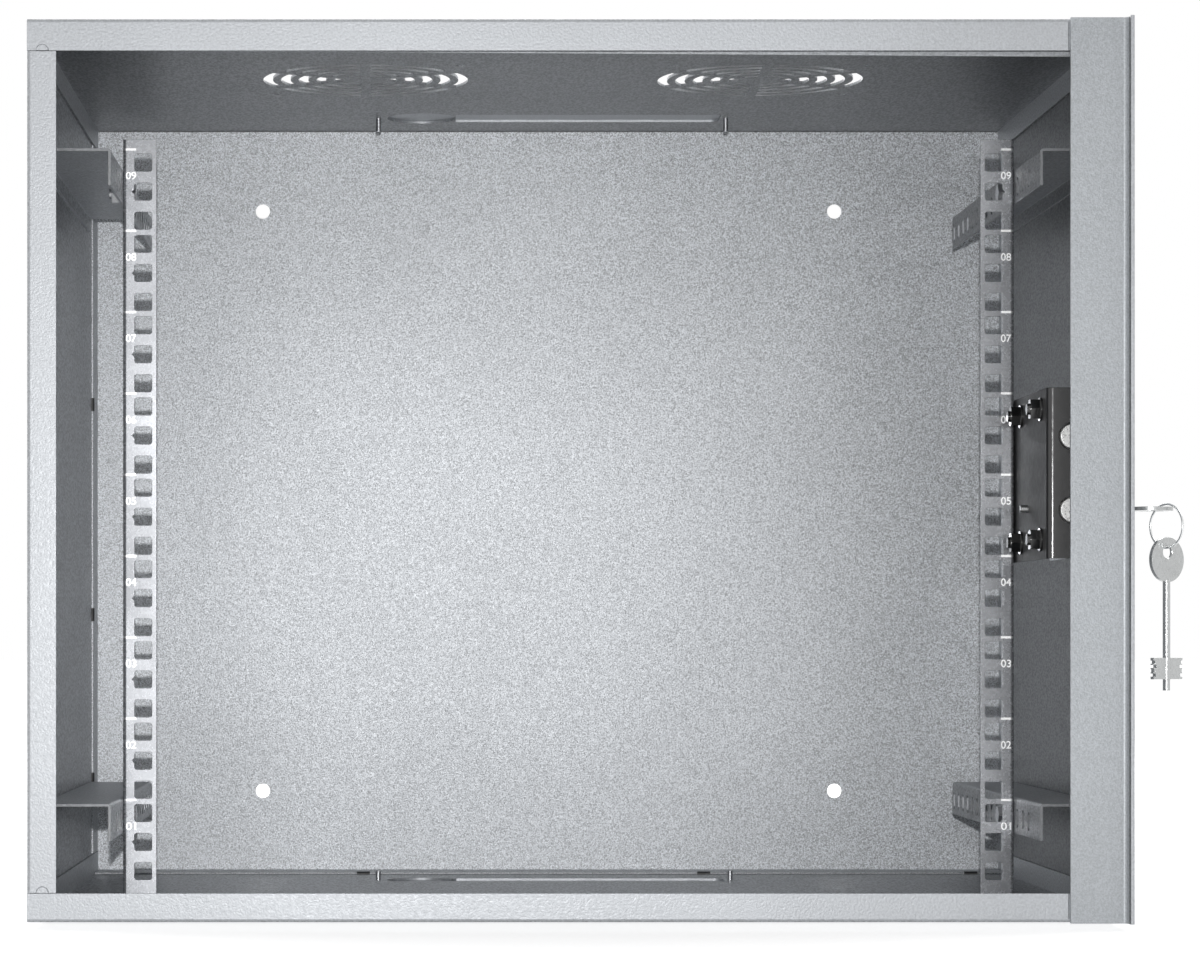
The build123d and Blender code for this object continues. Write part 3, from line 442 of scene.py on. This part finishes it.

# Panels and brackets with a sanded coat on the faces that look inwards: that way, and the share by which
# painted shade darkens those faces
PANEL_SPECKLE = 0.16
INNER_SAND_AND_SHADE = {
    "top_panel": (DOWN, 0.41),
    "right_side_panel": (LEFT, 0.60),
    "bottom_panel": (UP, 0.0),
    "left_side_panel": (RIGHT, 0.12),
    "upper_right_bracket": (LEFT, 0.50),
    "lower_right_bracket": (LEFT, 0.40),
    "upper_left_bracket": (RIGHT, 0.0),
    "lower_left_bracket": (RIGHT, 0.0),
}
for name, (inside, inner_shade) in INNER_SAND_AND_SHADE.items():
    coat = powder_coat(name + "_coat", GREY, PANEL_SPECKLE, inside=inside, inner_shade=inner_shade)
    nodes[name].data.materials[0] = coat


# Rail marks
def rail_surface(x):
    """Y of the rail's front at a distance x inside its outer face, over the bend too."""
    if x >= RAIL_BEND:
        return RAIL_FACE_Y
    reach = RAIL_BEND - max(x, 0.0)
    return RAIL_FACE_Y + RAIL_BEND - math.sqrt(RAIL_BEND**2 - reach**2)


def lay_on_rail(mesh, side):
    """Moves the points of a flat print onto the rail's face. Their X is the distance from the outer face, and
    their Y is below 0 on the print's front."""
    for point in mesh.verts:
        inside = point.co.x
        point.co.y = rail_surface(inside) - (PRINT if point.co.y < 0 else PRINT_REAR)
        point.co.x = side * (RAIL_OUTER_X - inside)
    mesh.normal_update()


def slab(mesh, x0, x1, z0, z1, cells):
    """A thin slab cut into cells along X, between a front and a rear face."""
    step = (x1 - x0) / cells
    rows = []
    for index in range(cells + 1):
        x = x0 + step * index
        rows.append([mesh.verts.new((x, y, z)) for y in (-1, 1) for z in (z0, z1)])
    for a, b in zip(rows, rows[1:]):
        for i, j in ((0, 1), (1, 3), (3, 2), (2, 0)):
            mesh.faces.new((a[i], a[j], b[j], b[i]))
    first, last = rows[0], rows[-1]
    mesh.faces.new((first[0], first[2], first[3], first[1]))
    mesh.faces.new((last[1], last[3], last[2], last[0]))


def number_mesh(text, height, width):
    """Digits as a mesh in the XZ plane, centred, front faces at Y -1 and rear faces at Y 1."""
    curve = bpy.data.curves.new("digits", "FONT")
    curve.body = text
    curve.size = 1.0
    curve.extrude = 0.5
    curve.offset = NUMBER_BOLDNESS
    holder = bpy.data.objects.new("digits", curve)
    scene.collection.objects.link(holder)
    bpy.context.view_layer.update()
    flat = bpy.data.meshes.new_from_object(holder.evaluated_get(bpy.context.evaluated_depsgraph_get()))
    bpy.data.objects.remove(holder)
    xs = [v.co.x for v in flat.vertices]
    ys = [v.co.y for v in flat.vertices]
    x_middle, y_middle = (min(xs) + max(xs)) / 2, (min(ys) + max(ys)) / 2
    x_scale, y_scale = width / (max(xs) - min(xs)), height / (max(ys) - min(ys))
    for v in flat.vertices:
        v.co = ((v.co.x - x_middle) * x_scale, -1 if v.co.z > 0 else 1, (v.co.y - y_middle) * y_scale)
    return flat


def add_number(marks, number, side, middle):
    """Adds a number to the flat print, centred at a height, with points enough to follow the rail's bend."""
    part = bmesh.new()
    part.from_mesh(number_mesh(f"{number:02d}", NUMBER_HEIGHT, NUMBER_WIDTH))
    long_edges = [edge for edge in part.edges if edge.calc_length() > LONG_EDGE]
    bmesh.ops.subdivide_edges(part, edges=long_edges, cuts=1)
    for point in part.verts:
        point.co.x = NUMBER_INSET - side * point.co.x
        point.co.z += middle
    whole = bpy.data.meshes.new("part")
    part.to_mesh(whole)
    part.free()
    marks.from_mesh(whole)


def finish_mesh(name, mesh, material, body="enclosure", smooth=False):
    data = bpy.data.meshes.new(name)
    bmesh.ops.recalc_face_normals(mesh, faces=mesh.faces)
    mesh.to_mesh(data)
    mesh.free()
    for face in data.polygons:
        face.use_smooth = smooth
    data.materials.append(material)
    piece = bpy.data.objects.new(name, data)
    scene.collection.objects.link(piece)
    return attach(piece, body)


def rail_marks(side, name):
    """Unit ticks and unit numbers printed along the outer edge of one rail."""
    marks = bmesh.new()
    lines = [RACK_TOP + MARK_RISE - unit * RACK_UNIT for unit in range(RACK_UNITS)]
    for line in lines:
        slab(marks, TICK_START, TICK_END, line - TICK_HALF_HEIGHT, line + TICK_HALF_HEIGHT, TICK_CELLS)
    for unit, line in enumerate(lines):
        add_number(marks, RACK_UNITS - unit, side, line - NUMBER_DROP)
    lay_on_rail(marks, side)
    finish_mesh(name, marks, print_ink)


rail_marks(-1, "left_rail_marks")
rail_marks(1, "right_rail_marks")


# Key ring
def tube_ring(name, centre, across, radius, wire, material, body):
    """A round wire ring that stands upright in the plane of the vector across."""
    ring = bmesh.new()
    across = across.normalized()
    up = Vector(UP)
    out = across.cross(up)
    rows = []
    for i in range(RING_TURNS):
        turn = 2 * math.pi * i / RING_TURNS
        way = across * math.cos(turn) + up * math.sin(turn)
        row = []
        for j in range(RING_SIDES):
            round_wire = 2 * math.pi * j / RING_SIDES
            reach = radius + wire * math.cos(round_wire)
            row.append(ring.verts.new(centre + way * reach + out * wire * math.sin(round_wire)))
        rows.append(row)
    for i in range(RING_TURNS):
        this, after = rows[i], rows[(i + 1) % RING_TURNS]
        for j in range(RING_SIDES):
            k = (j + 1) % RING_SIDES
            ring.faces.new((this[j], this[k], after[k], after[j]))
    return finish_mesh(name, ring, material, body, smooth=True)


ring_low, ring_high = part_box("key_ring")
ring_centre = (ring_low + ring_high) / 2
span = ring_high - ring_low
ring_across = Vector((span.x, -span.y, 0))
ring_piece = tube_ring("key_ring_wire", ring_centre, ring_across, RING_RADIUS, RING_WIRE, ring_metal, "ring")
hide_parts("key_ring")

# Camera
camera_data = bpy.data.cameras.new("camera")
camera_data.sensor_width = CAMERA_SENSOR
camera_data.lens = CAMERA_LENS
camera_data.shift_x, camera_data.shift_y = CAMERA_SHIFT
camera_data.clip_start, camera_data.clip_end = CAMERA_CLIP
camera = bpy.data.objects.new("camera", camera_data)
camera.location = CAMERA_PLACE
camera.rotation_euler = (math.radians(90), 0, 0)
scene.collection.objects.link(camera)
scene.camera = camera


# Light and surroundings
def area_light(name, place, target, size, power):
    data = bpy.data.lights.new(name, "AREA")
    data.shape = "DISK"
    data.size = size
    data.energy = power
    lamp = bpy.data.objects.new(name, data)
    lamp.location = place
    lamp.rotation_mode = "QUATERNION"
    lamp.rotation_quaternion = (Vector(target) - Vector(place)).to_track_quat("-Z", "Y")
    scene.collection.objects.link(lamp)


area_light("front_lamp", place=(-0.0890, -2.30, -0.008), target=(0.0, 0.0, -0.02), size=0.016, power=11.3)
area_light("left_lamp", place=(-2.2, 0.4, 1.9), target=(-0.25, -0.15, 0.0), size=1.4, power=22)
area_light("right_lamp", place=(2.2, 0.3, 1.9), target=(0.28, -0.15, 0.0), size=1.4, power=22)
area_light("rear_lamp", place=(0.0, 2.6, 1.2), target=(0.0, 0.0, 0.0), size=1.6, power=28)


def seen_light(tree):
    """1 for rays from the camera, off gloss or through glass, and 0 for those that light the object."""
    path = tree.nodes.new("ShaderNodeLightPath")
    total = calc(tree, "MAXIMUM", path.outputs["Is Camera Ray"], path.outputs["Is Glossy Ray"])
    return calc(tree, "MAXIMUM", total, path.outputs["Is Transmission Ray"])


def background(tree, colour, strength):
    node = tree.nodes.new("ShaderNodeBackground")
    node.inputs["Color"].default_value = (*colour, 1.0)
    node.inputs["Strength"].default_value = strength
    return node.outputs[0]


def studio_world():
    """White where it is seen, and a faint cool light on the object."""
    world = bpy.data.worlds.new("world")
    scene.world = world
    world.use_nodes = True
    sky = world.node_tree
    sky.nodes.clear()
    out = sky.nodes.new("ShaderNodeOutputWorld")
    mix = sky.nodes.new("ShaderNodeMixShader")
    links(sky, (seen_light(sky), mix.inputs[0]),
          (background(sky, AMBIENT_TINT, AMBIENT_STRENGTH), mix.inputs[1]),
          (background(sky, WHITE, BACKGROUND_STRENGTH), mix.inputs[2]),
          (mix.outputs[0], out.inputs["Surface"]))


def pale_floor():
    """Pale floor under the cabinet. Where it is seen it is a step lighter, so that it runs into the
    background."""
    mesh = bmesh.new()
    bmesh.ops.create_grid(mesh, x_segments=2, y_segments=2, size=FLOOR_SIZE)
    data = bpy.data.meshes.new("floor")
    mesh.to_mesh(data)
    mesh.free()
    floor = bpy.data.objects.new("floor", data)
    floor.location = (0, 0, cad_bounds[0].z - FLOOR_DROP)
    scene.collection.objects.link(floor)
    material, tree, shader, where = start_material("floor")
    haze = noise(tree, where, FLOOR_HAZE_SCALE, detail=2.0, roughness=0.5)
    tone = blend_colours(tree, seen_light(tree), FLOOR_LIT, blend_colours(tree, haze, *FLOOR_SEEN))
    reach = tree.nodes.new("ShaderNodeVectorMath")
    reach.operation = "LENGTH"
    links(tree, (where, reach.inputs[0]))
    far = spread(tree, reach.outputs["Value"], FLOOR_GLOW_FROM, FLOOR_GLOW_TO, FLOOR_GLOW_NEAR,
                 FLOOR_GLOW_FAR)
    glow = calc(tree, "MULTIPLY", seen_light(tree), far)
    links(tree, (tone, shader.inputs["Base Color"]), (glow, shader.inputs["Emission Strength"]))
    shader.inputs["Emission Color"].default_value = (*WHITE, 1)
    shader.inputs["Roughness"].default_value = FLOOR_ROUGHNESS
    shader.inputs["Specular IOR Level"].default_value = FLOOR_SPECULAR
    data.materials.append(material)


studio_world()
pale_floor()

scene.view_settings.view_transform = "Standard"
